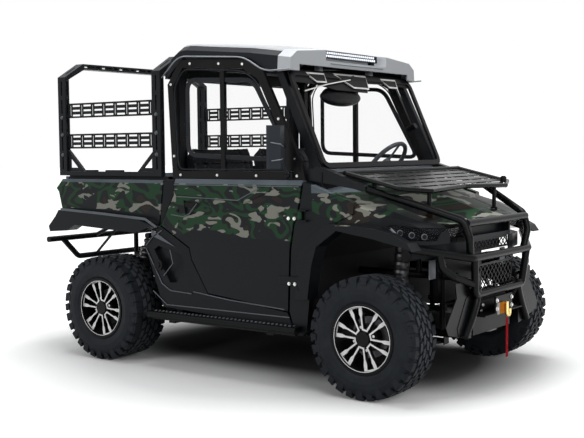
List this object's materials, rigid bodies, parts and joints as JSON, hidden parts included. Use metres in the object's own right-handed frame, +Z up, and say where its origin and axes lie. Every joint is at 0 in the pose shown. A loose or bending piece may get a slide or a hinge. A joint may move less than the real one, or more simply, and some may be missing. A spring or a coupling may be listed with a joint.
{
  "type": "side by side utility vehicle",
  "caption": "Two-seat side by side utility vehicle with closed cab, tilting cargo bed under a panel rack, bull bar, winch and hood rack.",
  "frame": {"origin": "on the ground under the middle of the body, without its mirror", "axes": "+X forward, +Y to the left of the vehicle, +Z up"},
  "size_m": [3.0269, 1.735, 1.986],
  "materials": {
    "camo_paint": "satin camouflage pattern",
    "body_plastic": "fine grain",
    "roof_plastic": "light grey, fine grain",
    "frame_paint": "satin black",
    "rack_paint": "textured black powder coat",
    "cage_paint": "silver grey",
    "bed_liner": "coarse grain",
    "glass": "clear with a faint tint",
    "lamp_lens": "clear lens",
    "tyre": "block tread",
    "rim_alloy": "black with machined spoke faces",
    "seat_vinyl": "stitched cover",
    "dark_steel": "dark steel",
    "hook_steel": "zinc plated",
    "strap_web": "red webbing",
    "interior_plastic": "grained"
  },
  "bodies": {
    "chassis": {"frame": "frame_paint", "skid_plate": "body_plastic", "floor_pan": "interior_plastic", "roll_cage": "cage_paint", "cab_back": "body_plastic", "cab_glass": "glass", "dashboard": "interior_plastic", "seats": "seat_vinyl", "engine_block": "dark_steel", "steering_column": "frame_paint", "roof": "roof_plastic", "light_bar": "frame_paint", "side_panels": "body_plastic", "step_bars": "rack_paint", "hood": "camo_paint", "fenders": "camo_paint", "fascia": "body_plastic", "headlights": "lamp_lens", "hood_rack": "rack_paint", "pillar_feet": "rack_paint", "bull_bar": "rack_paint", "winch": "frame_paint", "winch_hook": "hook_steel", "winch_strap": "strap_web", "front_arms": "frame_paint", "rear_arms": "frame_paint", "shocks": "dark_steel", "drive_line": "dark_steel", "hitch_receiver": "frame_paint"},
    "knuckle_left": {"knuckle_left": "dark_steel"},
    "knuckle_right": {"knuckle_right": "dark_steel"},
    "wheel_front_left": {"tyre_front_left": "tyre", "rim_front_left": "rim_alloy"},
    "wheel_front_right": {"tyre_front_right": "tyre", "rim_front_right": "rim_alloy"},
    "wheel_rear_left": {"tyre_rear_left": "tyre", "rim_rear_left": "rim_alloy"},
    "wheel_rear_right": {"tyre_rear_right": "tyre", "rim_rear_right": "rim_alloy"},
    "steering_rack": {"steering_rack": "dark_steel"},
    "steering_wheel": {"steering_wheel": "interior_plastic"},
    "door_left": {"door_skin_left": "camo_paint", "door_frame_left": "frame_paint", "door_glass_left": "glass"},
    "door_right": {"door_skin_right": "camo_paint", "door_frame_right": "frame_paint", "door_glass_right": "glass", "mirror_right": "interior_plastic"},
    "bed": {"bed_tub": "bed_liner", "bed_sides": "camo_paint", "bed_rack": "rack_paint", "rear_bumper": "rack_paint"},
    "tailgate": {"tailgate": "camo_paint"}
  },
  "joints": [
    {"name": "steer_right", "type": "hinge", "parent": "chassis", "child": "knuckle_right", "pos_m": [1.064, -0.64, 0.33], "axis": [0, 0, 1], "range_deg": [-30, 30]},
    {"name": "steer_left", "type": "hinge", "parent": "chassis", "child": "knuckle_left", "pos_m": [1.064, 0.64, 0.33], "axis": [0, 0, 1], "range_deg": [-30, 30]},
    {"name": "rack_slide", "type": "slide", "parent": "chassis", "child": "steering_rack", "axis": [0, 1, 0], "range_m": [-0.053, 0.053]},
    {"name": "steering_wheel_turn", "type": "hinge", "parent": "chassis", "child": "steering_wheel", "pos_m": [0.50397, 0.35, 1.22562], "axis": [-0.766, 0, 0.6428], "range_deg": [-272, 272]},
    {"name": "wheel_front_left_spin", "type": "hinge", "parent": "knuckle_left", "child": "wheel_front_left", "pos_m": [1.064, 0.74, 0.33], "axis": [0, 1, 0], "continuous": true},
    {"name": "wheel_front_right_spin", "type": "hinge", "parent": "knuckle_right", "child": "wheel_front_right", "pos_m": [1.064, -0.74, 0.33], "axis": [0, 1, 0], "continuous": true},
    {"name": "wheel_rear_left_spin", "type": "hinge", "parent": "chassis", "child": "wheel_rear_left", "pos_m": [-0.901, 0.74, 0.33], "axis": [0, 1, 0], "continuous": true},
    {"name": "wheel_rear_right_spin", "type": "hinge", "parent": "chassis", "child": "wheel_rear_right", "pos_m": [-0.901, -0.74, 0.33], "axis": [0, 1, 0], "continuous": true},
    {"name": "door_right_hinge", "type": "hinge", "parent": "chassis", "child": "door_right", "pos_m": [0.62875, -0.759, 1], "axis": [0, 0, 1], "range_deg": [0, 65]},
    {"name": "door_left_hinge", "type": "hinge", "parent": "chassis", "child": "door_left", "pos_m": [0.62875, 0.759, 1], "axis": [0, 0, -1], "range_deg": [0, 65]},
    {"name": "bed_tilt", "type": "hinge", "parent": "chassis", "child": "bed", "pos_m": [-1.1761, 0, 0.80009], "axis": [0, -1, 0], "range_deg": [0, 38]},
    {"name": "tailgate_hinge", "type": "hinge", "parent": "bed", "child": "tailgate", "pos_m": [-1.33625, 0, 0.87559], "axis": [0, -1, 0], "range_deg": [0, 90]}
  ],
  "couplings": [
    {"joint": "steer_left", "follows": "steer_right", "ratio": 1},
    {"joint": "rack_slide", "follows": "steer_right", "m_per_rad": -0.1},
    {"joint": "steering_wheel_turn", "follows": "steer_right", "ratio": 9}
  ]
}
